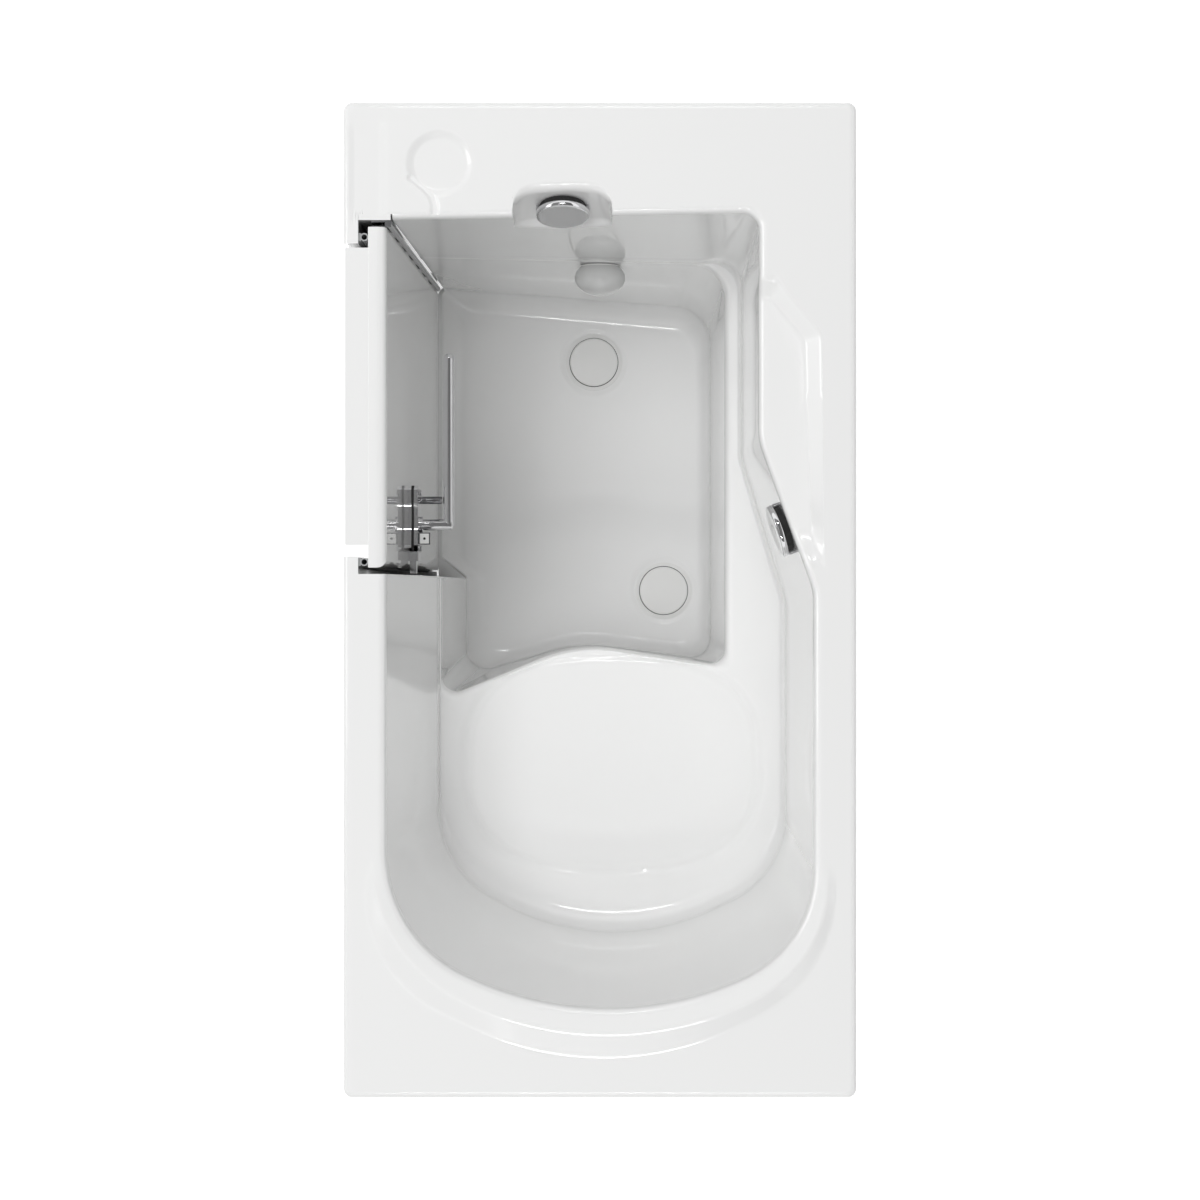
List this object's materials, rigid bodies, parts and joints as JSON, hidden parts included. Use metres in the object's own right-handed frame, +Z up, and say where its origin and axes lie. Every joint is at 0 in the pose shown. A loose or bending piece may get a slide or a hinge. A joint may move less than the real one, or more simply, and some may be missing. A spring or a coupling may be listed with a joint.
{
  "type": "walk-in bathtub",
  "caption": "Deep rectangular soaking tub with a raised moulded seat, footwell, inward-swinging side door on a piano hinge, lever latch, overflow controls and lift-up drain caps.",
  "frame": {"origin": "middle of the bounding box at the floor, under the levelling feet", "axes": "+Z up; +X along the tub from the foot end to the seat end; -Y is the side with the door, +Y the wall side"},
  "size_m": [1.321, 0.681, 0.965],
  "materials": {
    "acrylic": "glossy white acrylic over fibreglass",
    "door": "glossy white, moulded",
    "rubber": "soft grey silicone",
    "dark_rubber": "black",
    "chrome": "polished",
    "steel": "plain",
    "frame_steel": "grey coat",
    "pipe": "white pipe",
    "black_plastic": "moulded",
    "cap": "glossy white",
    "foot_plastic": "moulded pad on a zinc stud"
  },
  "bodies": {
    "tub": {"tub_shell": "acrylic", "door_frame": "acrylic", "door_seal": "rubber", "hinge_frame_leaf": "chrome", "hinge_pin": "chrome", "hinge_screws": "steel", "strike_plate": "chrome", "foot_overflow_body": "black_plastic", "seat_overflow_body": "black_plastic", "overflow_gaskets": "dark_rubber", "foot_overflow_pipe": "pipe", "seat_overflow_pipe": "pipe", "foot_drain_flange": "cap", "seat_drain_flange": "cap", "foot_drain_body": "black_plastic", "seat_drain_body": "black_plastic", "drain_gaskets": "dark_rubber", "waste_pipe": "pipe", "foot_cable": "black_plastic", "seat_cable": "black_plastic", "inlet_body": "cap", "inlet_cover": "cap", "inlet_nut": "pipe", "inlet_elbow": "pipe", "frame_rails": "frame_steel", "frame_cross_rails": "frame_steel", "frame_posts": "frame_steel", "seat_bearers": "frame_steel", "foot_locknuts": "steel", "front_apron": "acrylic", "end_panel": "acrylic", "panel_screws": "steel"},
    "door": {"door_panel": "door", "hinge_door_leaf": "chrome", "hinge_door_screws": "steel", "latch_base": "chrome", "latch_guide": "chrome", "latch_stop": "chrome", "latch_screws": "steel"},
    "lever": {"latch_lever": "chrome"},
    "bolt": {"latch_bolt": "chrome"},
    "foot_control": {"foot_knob": "chrome"},
    "seat_control": {"seat_knob": "chrome"},
    "foot_plug": {"foot_drain_cap": "cap"},
    "seat_plug": {"seat_drain_cap": "cap"},
    "foot_1": {"levelling_foot_1": "foot_plastic"},
    "foot_2": {"levelling_foot_2": "foot_plastic"},
    "foot_3": {"levelling_foot_3": "foot_plastic"},
    "foot_4": {"levelling_foot_4": "foot_plastic"}
  },
  "joints": [
    {"name": "door_hinge", "type": "hinge", "parent": "tub", "child": "door", "pos_m": [-0.499, -0.281, 0.951], "axis": [0, -0.0291, 0.9996], "range_deg": [0, 62]},
    {"name": "latch_turn", "type": "hinge", "parent": "door", "child": "lever", "pos_m": [-0.1085, -0.27467, 0.654], "axis": [0, 0.9996, 0.0291], "range_deg": [0, 90]},
    {"name": "bolt_slide", "type": "slide", "parent": "door", "child": "bolt", "axis": [1, 0, 0], "range_m": [0, 0.016]},
    {"name": "foot_control_turn", "type": "hinge", "parent": "tub", "child": "foot_control", "pos_m": [-0.52688, -0.05, 0.912], "axis": [0.9511, 0, 0.309], "range_deg": [0, 90]},
    {"name": "seat_control_turn", "type": "hinge", "parent": "tub", "child": "seat_control", "pos_m": [-0.0965, 0.24866, 0.895], "axis": [0.3317, -0.9419, 0.0523], "range_deg": [0, 90]},
    {"name": "foot_plug_lift", "type": "slide", "parent": "tub", "child": "foot_plug", "axis": [0, 0, 1], "range_m": [0, 0.009]},
    {"name": "seat_plug_lift", "type": "slide", "parent": "tub", "child": "seat_plug", "axis": [0, 0, 1], "range_m": [0, 0.009]},
    {"name": "foot_1_screw", "type": "hinge", "parent": "tub", "child": "foot_1", "pos_m": [-0.5862, -0.3187, 0.05], "axis": [0, 0, 1], "continuous": true},
    {"name": "foot_2_screw", "type": "hinge", "parent": "tub", "child": "foot_2", "pos_m": [-0.5862, 0.3187, 0.05], "axis": [0, 0, 1], "continuous": true},
    {"name": "foot_3_screw", "type": "hinge", "parent": "tub", "child": "foot_3", "pos_m": [0.5862, -0.3187, 0.05], "axis": [0, 0, 1], "continuous": true},
    {"name": "foot_4_screw", "type": "hinge", "parent": "tub", "child": "foot_4", "pos_m": [0.5862, 0.3187, 0.05], "axis": [0, 0, 1], "continuous": true}
  ],
  "couplings": [
    {"joint": "bolt_slide", "follows": "latch_turn", "m_per_rad": 0.01018},
    {"joint": "foot_plug_lift", "follows": "foot_control_turn", "m_per_rad": 0.005729},
    {"joint": "seat_plug_lift", "follows": "seat_control_turn", "m_per_rad": 0.005729}
  ]
}
